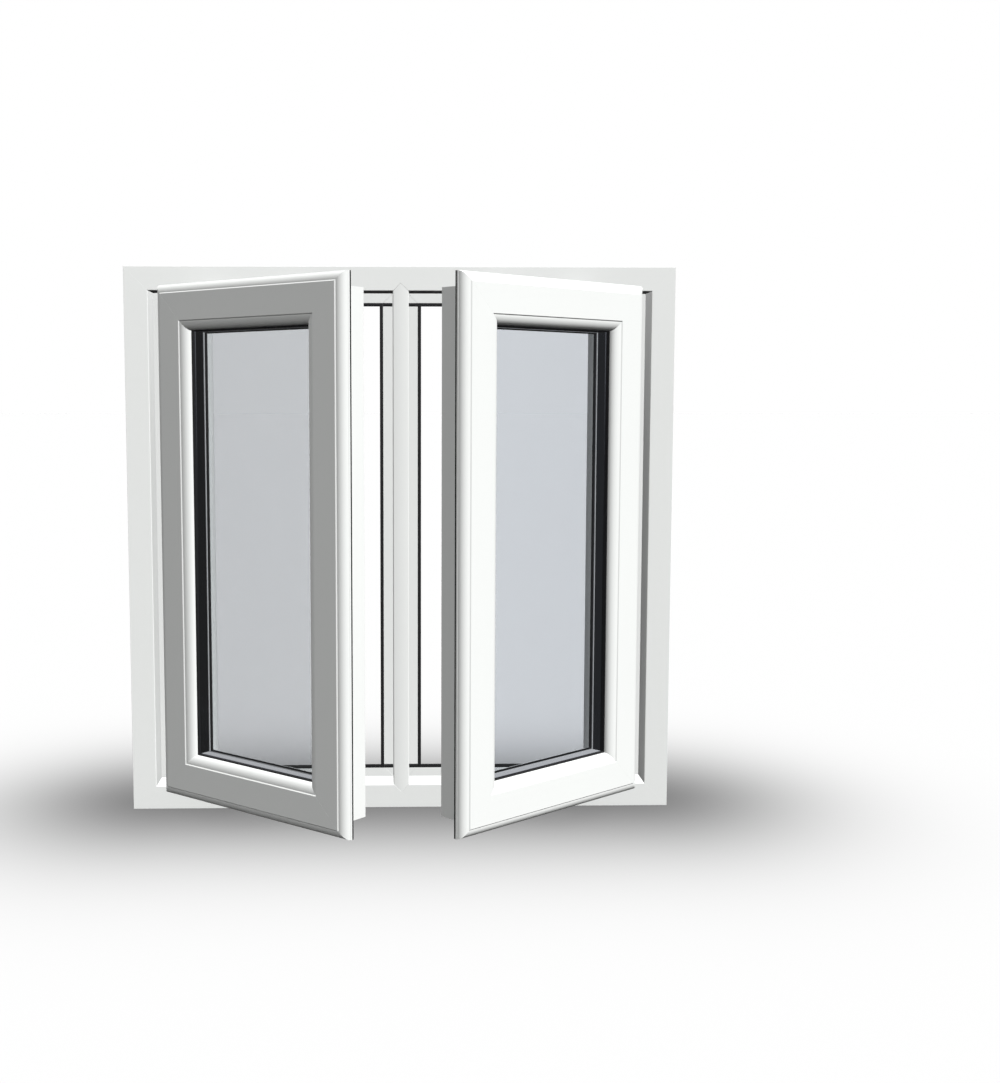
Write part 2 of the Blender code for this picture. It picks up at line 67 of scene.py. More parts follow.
class Side(Enum):
    """Which half of the window, as seen from outside; the value is +1 where +X runs away from the hinge."""

    LEFT = 1
    RIGHT = -1

    @property
    def label(self) -> str:
        """The word that the frame's nodes and bodies use for this side."""
        return self.name.lower()


class Stage(Enum):
    """End of a sash at which a stay works; the value is the sign of up in the stay's own drawing."""

    BOTTOM = 1
    TOP = -1

    @property
    def label(self) -> str:
        """The word that the frame's nodes use for this end."""
        return self.name.lower()


# ---------------------------------------------------------------- shared shader groups


def make_group(name: str, inputs: dict[str, float], outputs: tuple[tuple[str, str], ...]) -> Tree:
    """An empty shader node group with named sockets.

    Args:
        name: name of the group.
        inputs: float inputs and their default values.
        outputs: pairs of output name and socket type.

    Returns:
        The group, holding its input and output nodes.
    """
    tree = bpy.data.node_groups.new(name, "ShaderNodeTree")
    for label, value in inputs.items():
        socket = tree.interface.new_socket(label, in_out="INPUT", socket_type="NodeSocketFloat")
        socket.default_value = value
    for label, kind in outputs:
        tree.interface.new_socket(label, in_out="OUTPUT", socket_type=kind)
    tree.nodes.new("NodeGroupInput").name = "in"
    tree.nodes.new("NodeGroupOutput").name = "out"
    return tree


def feed(tree: Tree, socket: Socket, value: Socket | float | tuple[float, ...]) -> None:
    """Gives an input what it reads: a link from another socket, or a constant.

    Args:
        tree: the node tree of both.
        socket: the input.
        value: the socket or the constant.
    """
    if isinstance(value, Socket):
        tree.links.new(value, socket)
    else:
        socket.default_value = value


def math_node(tree: Tree, operation: str, *values: Socket | float, clamp: bool = False) -> Socket:
    """A Math node.

    Args:
        tree: the node tree that it goes in.
        operation: Blender's name of the operation.
        values: numbers, or sockets to link, one for each input.
        clamp: whether the result is kept within 0 and 1.

    Returns:
        Its output socket.
    """
    node = tree.nodes.new("ShaderNodeMath")
    node.operation = operation
    node.use_clamp = clamp
    for socket, value in zip(node.inputs, values):
        feed(tree, socket, value)
    return node.outputs[0]


def noise_node(tree: Tree, stretch: tuple[float, ...], scale: Socket | float, detail: float) -> Socket:
    """Noise over Object coordinates that are first stretched.

    Args:
        tree: the node tree that it goes in.
        stretch: factors on X, Y and Z.
        scale: the noise scale, a number or a socket.
        detail: number of finer layers.

    Returns:
        Its Fac output socket.
    """
    place = tree.nodes.new("ShaderNodeTexCoord")
    mapping = tree.nodes.new("ShaderNodeMapping")
    mapping.inputs["Scale"].default_value = stretch
    noise = tree.nodes.new("ShaderNodeTexNoise")
    noise.inputs["Detail"].default_value = detail
    tree.links.new(place.outputs["Object"], mapping.inputs["Vector"])
    tree.links.new(mapping.outputs["Vector"], noise.inputs["Vector"])
    feed(tree, noise.inputs["Scale"], scale)
    return noise.outputs["Fac"]


def mix_colors(
    tree: Tree, share: Socket | float, under: Socket | tuple, over: Socket | tuple, blend: str
) -> Socket:
    """A Mix node on colours.

    Args:
        tree: the node tree that it goes in.
        share: how much of the second colour shows.
        under: the first colour, with alpha if it is a constant.
        over: the second colour, likewise.
        blend: Blender's name of the blend type.

    Returns:
        Its colour output.
    """
    node = tree.nodes.new("ShaderNodeMix")
    node.data_type = "RGBA"
    node.blend_type = blend
    for label, value in (("Factor", share), ("A", under), ("B", over)):
        feed(tree, node.inputs[label], value)
    return node.outputs["Result"]


def place_group(tree: Tree, group: Tree, **values: float) -> bpy.types.Node:
    """Puts a group in a material with its own values.

    Args:
        tree: the material's node tree.
        group: the shared group.
        values: its inputs by name, with _ for a space.

    Returns:
        The group node.
    """
    node = tree.nodes.new("ShaderNodeGroup")
    node.node_tree = group
    for label, value in values.items():
        node.inputs[label.replace("_", " ")].default_value = value
    return node


def new_material(name: str) -> tuple[bpy.types.Material, Tree, bpy.types.Node]:
    """A fresh material.

    Args:
        name: name of the finish.

    Returns:
        The material, its node tree and its shader.
    """
    material = bpy.data.materials.new(name)
    material.use_nodes = True
    return material, material.node_tree, material.node_tree.nodes["Principled BSDF"]


class EffectLibrary:
    """The node groups that more than one finish uses, each made once."""

    def __init__(self) -> None:
        """Builds every group."""
        self.grain = self._fine_grain()
        self.drift = self._tone_drift()
        self.draw_lines = self._draw_lines()
        self.edge = self._edge_wear()
        self.settle = self._settled_dust()

    @staticmethod
    def _fine_grain() -> Tree:
        """Moulded or coated micro texture: two sizes of noise summed into a height and a roughness mask.

        Returns:
            The group.
        """
        tree = make_group(
            "FineGrain",
            {"Scale": 900.0, "Coarse Share": 0.35},
            (("Height", "NodeSocketFloat"), ("Mask", "NodeSocketFloat")),
        )
        source, out = tree.nodes["in"], tree.nodes["out"]
        fine = noise_node(tree, (1, 1, 1), source.outputs["Scale"], 3.0)
        wide_scale = math_node(tree, "MULTIPLY", source.outputs["Scale"], 0.08)
        wide = noise_node(tree, (1, 1, 1), wide_scale, 2.0)
        share = math_node(tree, "MULTIPLY", wide, source.outputs["Coarse Share"])
        tree.links.new(math_node(tree, "ADD", fine, share), out.inputs["Height"])
        tree.links.new(wide, out.inputs["Mask"])
        return tree

    @staticmethod
    def _tone_drift() -> Tree:
        """Slow change of tone over a surface, as a factor close to 1.

        Returns:
            The group.
        """
        tree = make_group("ToneDrift", {"Scale": 6.0, "Amount": 0.02}, (("Factor", "NodeSocketFloat"),))
        source, out = tree.nodes["in"], tree.nodes["out"]
        noise = noise_node(tree, (1, 1, 1), source.outputs["Scale"], 4.0)
        centred = math_node(tree, "SUBTRACT", noise, 0.5)
        scaled = math_node(tree, "MULTIPLY", centred, source.outputs["Amount"])
        tree.links.new(math_node(tree, "ADD", scaled, 1.0), out.inputs["Factor"])
        return tree

    @staticmethod
    def _draw_lines() -> Tree:
        """Fine lines left along a bar by the die or the brush, from noise squeezed across the bar.

        Returns:
            The group.
        """
        tree = make_group(
            "DrawLines",
            {"Scale": 260.0, "Across": 1.0, "Upright": 1.0},
            (("Height", "NodeSocketFloat"),),
        )
        source, out = tree.nodes["in"], tree.nodes["out"]
        along_x = noise_node(tree, (0.01, 1, 1), source.outputs["Scale"], 2.0)
        along_z = noise_node(tree, (1, 1, 0.01), source.outputs["Scale"], 2.0)
        level = math_node(tree, "MULTIPLY", along_x, source.outputs["Across"])
        upright = math_node(tree, "MULTIPLY", along_z, source.outputs["Upright"])
        tree.links.new(math_node(tree, "ADD", level, upright), out.inputs["Height"])
        return tree

    @staticmethod
    def _edge_wear() -> Tree:
        """Mask of rubbed edges: where the surface bends outwards, broken up by noise.

        Returns:
            The group.
        """
        tree = make_group(
            "EdgeWear", {"Start": 0.52, "Width": 0.06, "Break Up": 90.0}, (("Mask", "NodeSocketFloat"),)
        )
        source, out = tree.nodes["in"], tree.nodes["out"]
        geometry = tree.nodes.new("ShaderNodeNewGeometry")
        over = math_node(tree, "SUBTRACT", geometry.outputs["Pointiness"], source.outputs["Start"])
        ramp = math_node(tree, "DIVIDE", over, source.outputs["Width"], clamp=True)
        breaks = noise_node(tree, (1, 1, 1), source.outputs["Break Up"], 3.0)
        tree.links.new(math_node(tree, "MULTIPLY", ramp, breaks), out.inputs["Mask"])
        return tree

    @staticmethod
    def _settled_dust() -> Tree:
        """Mask of faces that look up, broken up by noise, for a tint on those faces: painted light on the
        spacer's top, near black on the sealant's.

        Returns:
            The group.
        """
        tree = make_group(
            "SettledDust", {"Steepest": 0.75, "Break Up": 160.0}, (("Mask", "NodeSocketFloat"),)
        )
        source, out = tree.nodes["in"], tree.nodes["out"]
        geometry = tree.nodes.new("ShaderNodeNewGeometry")
        split = tree.nodes.new("ShaderNodeSeparateXYZ")
        tree.links.new(geometry.outputs["Normal"], split.inputs[0])
        over = math_node(tree, "SUBTRACT", split.outputs[2], source.outputs["Steepest"])
        facing = math_node(tree, "MULTIPLY", over, 6.0, clamp=True)
        breaks = noise_node(tree, (1, 1, 1), source.outputs["Break Up"], 3.0)
        spread = math_node(tree, "MULTIPLY_ADD", breaks, 0.3, 0.75, clamp=True)
        tree.links.new(math_node(tree, "MULTIPLY", facing, spread), out.inputs["Mask"])
        return tree


# ---------------------------------------------------------------- finishes


@dataclass(frozen=True)
class Finish:
    """What every finish shares: its colour, gloss and how strongly each effect shows."""

    name: str
    color: tuple[float, float, float]
    roughness: float
    roughness_spread: float = 0.12
    metallic: float = 0.0
    specular: float = 0.5
    drift: float = 0.03
    drift_scale: float = 5.0
    grain_scale: float = 900.0
    grain_depth: float = 0.00002
    line_depth: float = 0.0
    wear: float = 0.0
    wear_color: tuple[float, float, float] = (0.9, 0.9, 0.9)
    dust: float = 0.0
    dust_color: tuple[float, float, float] = (0.7, 0.7, 0.7)

    def build(self, effects: EffectLibrary) -> bpy.types.Material:
        """Makes the material.

        Args:
            effects: the shared node groups.

        Returns:
            The finished material.
        """
        material, tree, shader = new_material(self.name)
        shader.inputs["Metallic"].default_value = self.metallic
        shader.inputs["Specular IOR Level"].default_value = self.specular

        drift = place_group(tree, effects.drift, Scale=self.drift_scale, Amount=self.drift)
        color = mix_colors(tree, 1.0, (*self.color, 1.0), drift.outputs["Factor"], "MULTIPLY")
        layers = ((self.wear, effects.edge, self.wear_color), (self.dust, effects.settle, self.dust_color))
        for amount, group, over in layers:
            if amount:
                mask = math_node(tree, "MULTIPLY", place_group(tree, group).outputs["Mask"], amount)
                color = mix_colors(tree, mask, color, (*over, 1.0), "MIX")
        tree.links.new(color, shader.inputs["Base Color"])

        grain = place_group(tree, effects.grain, Scale=self.grain_scale)
        low = self.roughness - self.roughness_spread / 2
        spread = math_node(tree, "MULTIPLY_ADD", grain.outputs["Mask"], self.roughness_spread, low)
        tree.links.new(spread, shader.inputs["Roughness"])
        height = math_node(tree, "MULTIPLY", grain.outputs["Height"], self.grain_depth)
        if self.line_depth:
            lines = place_group(tree, effects.draw_lines)
            drawn = math_node(tree, "MULTIPLY", lines.outputs["Height"], self.line_depth)
            height = math_node(tree, "ADD", height, drawn)
        bump = tree.nodes.new("ShaderNodeBump")
        bump.inputs["Distance"].default_value = 1.0
        tree.links.new(height, bump.inputs["Height"])
        tree.links.new(bump.outputs["Normal"], shader.inputs["Normal"])
        return material


@dataclass(frozen=True)
class GlassFinish:
    """Clear float glass, whose tint shows in its depth, with a breath of grime in its gloss."""

    name: str
    color: tuple[float, float, float]
    ior: float = 1.45
    drift: float = 0.012
    drift_scale: float = 3.0
    haze: float = 0.012
    haze_scale: float = 40.0

    def build(self, effects: EffectLibrary) -> bpy.types.Material:
        """Makes the material.

        Args:
            effects: the shared node groups.

        Returns:
            The finished material.
        """
        material, tree, shader = new_material(self.name)
        shader.inputs["Transmission Weight"].default_value = 1.0
        shader.inputs["IOR"].default_value = self.ior
        drift = place_group(tree, effects.drift, Scale=self.drift_scale, Amount=self.drift)
        color = mix_colors(tree, 1.0, (*self.color, 1.0), drift.outputs["Factor"], "MULTIPLY")
        tree.links.new(color, shader.inputs["Base Color"])
        grain = place_group(tree, effects.grain, Scale=self.haze_scale)
        haze = math_node(tree, "MULTIPLY", grain.outputs["Mask"], self.haze)
        tree.links.new(haze, shader.inputs["Roughness"])
        return material


class Palette:
    """Every finish of the window, built once and looked up by name."""

    FINISHES = (
        Finish(
            "uPVC satin white", (0.80, 0.815, 0.80), 0.34, drift=0.02, grain_depth=0.000010,
            line_depth=0.000012, wear=0.25, wear_color=(0.86, 0.87, 0.86),
        ),
        Finish(
            "gasket black rubber", (0.007, 0.007, 0.008), 0.62, specular=0.25, drift=0.4,
            grain_scale=1400.0, grain_depth=0.00004, wear=0.2, wear_color=(0.05, 0.05, 0.052),
        ),
        # The spacer's top tint is painted light: its up-facing faces are coloured a lighter grey, standing in
        # for light falling on them from above.
        Finish(
            "spacer dark anodised", (0.19, 0.20, 0.225), 0.15, metallic=1.0, drift=0.1, grain_scale=600.0,
            grain_depth=0.000004, dust=1.0, dust_color=(0.50, 0.51, 0.54),
        ),
        # The sealant's top tint colours its up-facing faces near black.
        Finish(
            "sealant grey butyl", (0.44, 0.45, 0.46), 0.55, drift=0.3, grain_scale=800.0, grain_depth=0.00003,
            dust=1.0, dust_color=(0.02, 0.02, 0.022),
        ),
        Finish(
            "stay brushed steel", (0.60, 0.60, 0.61), 0.30, metallic=1.0, drift=0.08,
            grain_scale=700.0, grain_depth=0.000006, line_depth=0.00003,
        ),
        Finish(
            "rivet bright steel", (0.70, 0.70, 0.71), 0.22, metallic=1.0, drift=0.06,
            grain_scale=1200.0, grain_depth=0.000004,
        ),
        Finish(
            "shoe dark nylon", (0.04, 0.04, 0.045), 0.48, drift=0.2, grain_scale=1100.0,
            grain_depth=0.00002, wear=0.3, wear_color=(0.12, 0.12, 0.125),
        ),
        Finish(
            "handle powder coat", (0.82, 0.83, 0.82), 0.30, drift=0.02, grain_scale=420.0,
            grain_depth=0.00003, wear=0.3, wear_color=(0.88, 0.88, 0.88),
        ),
        # Both sashes hold one glass: the left pane's darker tint is painted shade and the right pane's
        # lighter tint is painted light, for how differently the two sashes are lit.
        GlassFinish("float glass left", (0.792, 0.804, 0.818)),
        GlassFinish("float glass right", (0.850, 0.869, 0.893)),
    )

    def __init__(self, effects: EffectLibrary) -> None:
        """Builds every material from its finish."""
        self._made = {finish.name: finish.build(effects) for finish in self.FINISHES}

    def __getitem__(self, name: str) -> bpy.types.Material:
        """The material of that finish."""
        return self._made[name]


# ---------------------------------------------------------------- surfaces


def arc(center: Pair, radii: Pair, start: float, end: float, steps: int) -> Array:
    """Points of an elliptical arc.

    Each point is the centre plus the radii times the cosine and sine of an angle that runs evenly from
    start to end, in degrees, anticlockwise from the first axis.

    Args:
        center: the ellipse's centre.
        radii: its half widths on the first and the second axis.
        start: first angle.
        end: last angle.
        steps: steps between them.

    Returns:
        The points, (steps + 1, 2).
    """
    angle = np.radians(np.linspace(start, end, steps + 1))
    return np.stack([center[0] + radii[0] * np.cos(angle), center[1] + radii[1] * np.sin(angle)], axis=1)


def held(section: Array, margin: float = 0.00012, shortest: float = 0.0009) -> Array:
    """A closed section with a point added near both ends of each long straight run.

    The added points lie on the run, a margin from its ends, so that smooth shading of a rounded corner
    dies out at once and the flat beside it stays flat.

    Args:
        section: closed outline, (n, 2).
        margin: distance of the added points from the run's ends.
        shortest: length past which a run counts as long.

    Returns:
        The outline with its added points.
    """
    after = np.roll(section, -1, axis=0)
    run = after - section
    length = np.linalg.norm(run, axis=1, keepdims=True)
    unit = run / np.maximum(length, 1e-9)
    rows = np.stack([section, section + margin * unit, after - margin * unit], axis=1)
    keep = np.repeat(length > shortest, 3, axis=1)
    keep[:, 0] = True
    return rows[keep]


def rounded(corners: Array, radius: Array, steps: int = 6) -> Array:
    """A closed polygon whose corners are rounded by arcs.

    A corner of turn angle a is cut back by radius * tan(a / 2) along both of its sides, and the points
    between are read from the circle that touches both sides there.

    Args:
        corners: the polygon's corners, (n, 2).
        radius: each corner's radius, (n,); 0 keeps it sharp.
        steps: steps along each arc.

    Returns:
        The rounded outline.
    """
    pieces = []
    before = np.roll(corners, 1, axis=0) - corners
    after = np.roll(corners, -1, axis=0) - corners
    before /= np.linalg.norm(before, axis=1, keepdims=True)
    after /= np.linalg.norm(after, axis=1, keepdims=True)
    for corner, back, ahead, r in zip(corners, before, after, radius):
        if r <= 0:
            pieces.append(corner[None])
            continue
        half = math.acos(float(np.clip(back @ ahead, -1, 1))) / 2
        middle = back + ahead
        middle /= np.linalg.norm(middle)
        center = corner + middle * r / math.sin(half)
        sweep = math.pi - 2 * half
        turn = np.linspace(-sweep / 2, sweep / 2, steps + 1)
        across = np.array([-middle[1], middle[0]])
        if across @ back > 0:
            across = -across
        pieces.append(center + r * (-np.cos(turn)[:, None] * middle + np.sin(turn)[:, None] * across))
    return np.concatenate(pieces)


def grid_faces(rows: int, columns: int) -> Array:
    """Quads of a grid that closes on itself across its columns; point (i, j) has number i * columns + j.

    Args:
        rows: points along the grid.
        columns: points round it.

    Returns:
        The point numbers of each quad, (n, 4).
    """
    i, j = np.meshgrid(np.arange(rows - 1), np.arange(columns), indexing="ij")
    k = (j + 1) % columns
    near, far = i * columns, (i + 1) * columns
    return np.stack([near + j, near + k, far + k, far + j], axis=-1).reshape(-1, 4)


def mesh_object(name: str, points: Array, faces: list, sharp: float = 32.0) -> Object:
    """An object from points and faces, facing outwards, smooth but for edges that turn by more than `sharp`.

    Args:
        name: name of the piece.
        points: (n, 3) places in metres.
        faces: lists of point numbers.
        sharp: degrees past which an edge stays sharp.

    Returns:
        The object, linked to the scene and standing at the origin.
    """
    mesh = bpy.data.meshes.new(name)
    mesh.from_pydata(points.tolist(), [], faces)
    work = bmesh.new()
    work.from_mesh(mesh)
    bmesh.ops.remove_doubles(work, verts=work.verts, dist=1e-6)
    bmesh.ops.recalc_face_normals(work, faces=work.faces)
    work.to_mesh(mesh)
    work.free()
    mesh.shade_smooth()
    mesh.set_sharp_from_angle(angle=math.radians(sharp))
    obj = bpy.data.objects.new(name, mesh)
    bpy.context.scene.collection.objects.link(obj)
    return obj


def swept(name: str, rings: Array, closed: bool = False, sharp: float = 32.0) -> Object:
    """A solid from a section carried along a path.

    Args:
        name: name of the piece.
        rings: (stations, points of the section, 3): the section as it stands at each station.
        closed: whether the path runs back into its start; an open one gets flat ends.
        sharp: degrees past which an edge stays sharp.

    Returns:
        The object.
    """
    stations, around, _ = rings.shape
    if closed:
        rings = np.concatenate([rings, rings[:1]])
    faces = grid_faces(len(rings), around).tolist()
    if not closed:
        faces.append(list(range(around)))
        faces.append(list(range((stations - 1) * around, stations * around)))
    return mesh_object(name, rings.reshape(-1, 3), faces, sharp)


@dataclass(frozen=True)
class Placement:
    """A rigid place in the window: an origin and three directions that carry (along, depth, inset)."""

    origin: tuple[float, float, float]
    along: tuple[float, float, float]
    depth: tuple[float, float, float]
    inset: tuple[float, float, float]

    def carry(self, points: Array) -> Array:
        """World places of points (along, depth, inset): origin plus each number times its direction."""
        return np.asarray(self.origin) + points @ np.array([self.along, self.depth, self.inset])


@dataclass(frozen=True)
class Plane:
    """The plane of a frame or sash: the middle of its outer edges, its width direction and its depth."""

    center: tuple[float, float, float]
    across: tuple[float, float, float]
    depth: tuple[float, float, float]
    width: float
    height: float

    def bar(self, place: str) -> tuple[Placement, float]:
        """Place and length of one of its bars.

        Args:
            place: bottom, top, left or right; left and right are the ends of `across`, minus first.

        Returns:
            The bar's placement, and the length of the plane's edge that it lies on.
        """
        center, across = np.asarray(self.center), np.asarray(self.across)
        outward, along, length = {
            "bottom": (-UP * self.height / 2, across, self.width),
            "top": (UP * self.height / 2, across, self.width),
            "left": (-across * self.width / 2, UP, self.height),
            "right": (across * self.width / 2, UP, self.height),
        }[place]
        inset = -outward / np.linalg.norm(outward)
        placement = Placement(tuple(center + outward), tuple(along), self.depth, tuple(inset))
        return placement, float(length)

    def carry(self, flat: Array, depth: Array) -> Array:
        """World places of points of the plane: centre plus across, up and depth, each times its number.

        Args:
            flat: (across, up) of each point from the middle, (..., 2).
            depth: depth of each point; its shape broadcasts to that of the points.

        Returns:
            The places, (..., 3).
        """
        center, across, inward = (np.asarray(v) for v in (self.center, self.across, self.depth))
        return center + flat[..., :1] * across + flat[..., 1:] * UP + depth[..., None] * inward


def stations(first: Array, second: Array, third: Array) -> Array:
    """Points from their three numbers, each given as an array that broadcasts to the others' shape."""
    return np.stack(np.broadcast_arrays(first, second, third), axis=-1)


def mitred_bar(name: str, section: Array, plane: Plane, place: str) -> Object:
    """A bar with both ends cut at 45 degrees.

    The section is carried along the edge of the plane, and at each end every point slides back by its own
    inset, less a hair for the weld line.

    Args:
        name: name of the piece.
        section: closed outline in (depth, inset).
        plane: the frame or sash that it belongs to.
        place: bottom, top, left or right.

    Returns:
        The object.
    """
    placement, length = plane.bar(place)
    section = held(section)
    reach = length / 2 - section[:, 1] - WELD_HAIR
    return swept(name, placement.carry(stations(np.stack([-reach, reach]), *section.T)))


def ring(name: str, section: Array, plane: Plane) -> Object:
    """One continuous ring: the section carried round the plane's rectangle, mitred at its corners.

    At a corner each point stands where its inset meets both sides.

    Args:
        name: name of the piece.
        section: closed outline in (depth, inset).
        plane: the frame or sash that it runs round.

    Returns:
        The object.
    """
    section = held(section)
    half = np.array([plane.width / 2, plane.height / 2])
    flat = CORNERS[:, None] * (half - section[:, 1:])
    return swept(name, plane.carry(flat, section[:, 0]), closed=True)


def plate(name: str, plane: Plane, inset: float, depths: Pair, arris: float) -> Object:
    """A rectangular plate with its four long edges taken off.

    Four outlines stand one behind the other: the two outer ones are drawn in by the arris, and the two
    between them stand an arris further in from either face.

    Args:
        name: name of the piece.
        plane: the sash that it lies in.
        inset: how far its edges stand inside the plane's.
        depths: depth of its outer and its inner face.
        arris: how much is taken off each edge.

    Returns:
        The object.
    """
    near, far = depths
    rows = np.array([[near, arris], [near + arris, 0.0], [far - arris, 0.0], [far, arris]])
    half = np.array([plane.width / 2, plane.height / 2]) - inset
    flat = CORNERS * (half - rows[:, None, 1:])
    return swept(name, plane.carry(flat, rows[:, :1]))


def lathe(name: str, profile: Array, place: Placement, steps: int = 24) -> Object:
    """A turned piece.

    Each point of the profile, (radius, height), goes round the placement's depth direction: its place is
    radius times the cosine along the first direction, radius times the sine along the third, and height
    along depth. A radius of 0 closes a pole.

    Args:
        name: name of the piece.
        profile: (radius, height) of each point, from pole to pole.
        place: where it stands.
        steps: points round it.

    Returns:
        The object.
    """
    angle = np.linspace(0, 2 * math.pi, steps, endpoint=False)
    radius, height = profile[:, :1], profile[:, 1:]
    points = place.carry(stations(radius * np.cos(angle), height, radius * np.sin(angle)))
    return mesh_object(name, points.reshape(-1, 3), grid_faces(len(profile), steps).tolist(), 40.0)


def dress(obj: Object, material: bpy.types.Material, body: str, slot: str, *nodes: str) -> None:
    """Gives a piece its finish, its body and the nodes that it stands for.

    Args:
        obj: the piece.
        material: its finish.
        body: the body that it moves with.
        slot: the record's material slot; not used.
        nodes: the CAD nodes that it replaces.
    """
    obj.data.materials.append(material)
    obj.visible_diffuse = False
    obj.visible_glossy = False
    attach(obj, body)
    if nodes:
        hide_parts(*nodes)
    LOG.info("%s on %s, %d faces", obj.name, body, len(obj.data.polygons))


# ---------------------------------------------------------------- outer frame


@dataclass
class OuterFrame:
    """Head, cill, jambs and mullion, with a weather gasket round each light."""

    materials: Palette = field(repr=False)
    width: float = 0.900
    height: float = 0.900
    depth: float = 0.070
    nose: float = 0.039
    rebate: float = 0.055
    upstand: float = 0.0215
    mullion_half: float = 0.013
    edge: float = 0.0015
    tip_edge: float = 0.0006
    back_edge: float = 0.0004
    point_gap: float = 0.00035
    crown: float = 0.0009
    fall: float = 0.0042
    gasket: Pair = (0.0052, 0.0056)
    bulb: float = 0.0014
    tail_gap: float = 0.00005

    @property
    def front(self) -> float:
        """Y of the outer face."""
        return -self.depth / 2

    @property
    def plane(self) -> Plane:
        """The frame's outer rectangle at its outer face."""
        return Plane((0, self.front, self.height / 2), (1, 0, 0), (0, 1, 0), self.width, self.height)

    def section(self) -> Array:
        """Nose, rebate and upstand, whose tip falls away to the room; every outward corner is rounded.

        Returns:
            The closed outline.
        """
        inset = self.nose + self.upstand
        corners = np.array([
            [0, 0], [0, self.nose], [self.rebate, self.nose], [self.rebate, inset],
            [self.depth, inset - self.fall], [self.depth, 0],
        ])
        radii = [self.back_edge, self.edge, 0.0, self.tip_edge, self.edge, self.back_edge]
        return rounded(corners, np.array(radii))

    def build(self) -> None:
        """Builds and dresses every piece of the frame."""
        white, rubber = self.materials["uPVC satin white"], self.materials["gasket black rubber"]
        bars = {
            "cill": self.notched_bar("frame_cill_bar", "bottom"),
            "left_jamb": mitred_bar("frame_left_jamb_bar", self.section(), self.plane, "left"),
            "head": self.notched_bar("frame_head_bar", "top"),
            "right_jamb": mitred_bar("frame_right_jamb_bar", self.section(), self.plane, "right"),
        }
        for label, bar in bars.items():
            dress(bar, white, "frame", "white_upvc", f"frame_{label}")
        dress(self.mullion(), white, "frame", "white_upvc", "frame_mullion")
        for side in Side:
            dress(self.weather_gasket(side), rubber, "frame", "black_gasket", f"{side.label}_frame_gasket")
            for stage in Stage:
                dress(self.gasket_tail(side, stage), rubber, "frame", "black_gasket")

    def notched_bar(self, name: str, place: str) -> Object:
        """The cill or the head: a mitred bar with a V cut in its middle for the mullion's pointed end.

        Below the V's tip the section runs straight through. Above it, the section stops on either side at
        a distance from the middle equal to its height above the tip, where a flat wall closes it.

        Args:
            name: name of the piece.
            place: bottom or top.

        Returns:
            The object.
        """
        placement, length = self.plane.bar(place)
        tip = self.nose - self.mullion_half
        section = self._with_level(held(self.section()), tip)
        reach = length / 2 - section[:, 1] - WELD_HAIR
        notch = np.maximum(section[:, 1] - tip, 0.0)
        local = stations(np.stack([-reach, -notch, notch, reach]), *section.T)
        around = len(section)
        half = grid_faces(2, around)
        end = np.arange(around)
        wall = end[section[:, 1] > tip - 1e-7]
        faces = half.tolist() + (half + 2 * around).tolist()
        faces += [flat.tolist() for flat in (end, end + 3 * around, wall + around, wall + 2 * around)]
        return mesh_object(name, placement.carry(local.reshape(-1, 3)), faces)

    def mullion(self) -> Object:
        """The T-shaped mullion with a pointed end at head and cill.

        The nose is crowned: its depth grows with the square of the distance from the middle. At both ends
        every point stands at the height where a 45 degree line from the tip passes its distance from it.

        Returns:
            The object.
        """
        nose, half, edge = self.mullion_half, self.mullion_half + self.upstand, self.edge
        outline = rounded(
            np.array([
                [0, -nose], [0, nose], [self.rebate, nose], [self.rebate, half],
                [self.depth, half - self.fall], [self.depth, self.fall - half],
                [self.rebate, -half], [self.rebate, -nose],
            ]),
            np.array([edge, edge, 0, self.tip_edge, edge, edge, self.tip_edge, 0]),
        )
        flat = np.linspace(edge - nose, nose - edge, 17)[1:-1]
        crowned = np.stack([np.zeros_like(flat), flat], axis=1)
        start = int(np.argmax(outline[:, 1] > 0))
        section = self._with_level(held(np.insert(outline, start, crowned, axis=0)), 0.0)
        share = np.clip(np.abs(section[:, 1]) / nose, 0, 1)
        front = section[:, 0] < 2 * edge
        section[front, 0] += self.crown * share[front] ** 2
        reach = self.height / 2 - (self.nose - nose) - self.point_gap - np.abs(section[:, 1])
        level = self.height / 2 + np.stack([-reach, reach])
        return swept("frame_mullion_bar", stations(section[:, 1], self.front + section[:, 0], level))

    @staticmethod
    def _with_level(section: Array, level: float) -> Array:
        """The section with a point added wherever an edge crosses an inset.

        Args:
            section: closed outline in (depth, inset).
            level: the inset.

        Returns:
            The outline with its added points.
        """
        after = np.roll(section, -1, axis=0)
        above, above_next = section[:, 1] - level, after[:, 1] - level
        crossing = above * above_next < -1e-14
        share = np.where(crossing, above / np.where(crossing, above - above_next, 1.0), 0.0)
        added = section + share[:, None] * (after - section)
        rows = np.stack([section, added], axis=1)
        return rows[np.stack([np.ones_like(crossing), crossing], axis=1)]

    def weather_gasket(self, side: Side) -> Object:
        """A bulb gasket: a carrier strip on the upstand's tip, with a rounded sealing lip in front.

        Args:
            side: the light that it runs round.

        Returns:
            The object.
        """
        inner = self.nose + self.upstand
        half = self.mullion_half + self.upstand
        width = self.width / 2 - inner - half
        height = self.height - 2 * inner
        middle = -side.value * (half + width / 2)
        plane = Plane((middle, self.front, self.height / 2), (1, 0, 0), (0, 1, 0), width, height)
        deep, wide = self.gasket
        back = self.rebate - CLEAR
        corners = np.array([[back - deep, -wide], [back, -wide], [back, 0.0], [back - deep, 0.0]])
        section = rounded(corners, np.array([self.bulb, CLEAR, CLEAR, self.bulb]))
        return ring(f"{side.label}_weather_gasket", section, plane)

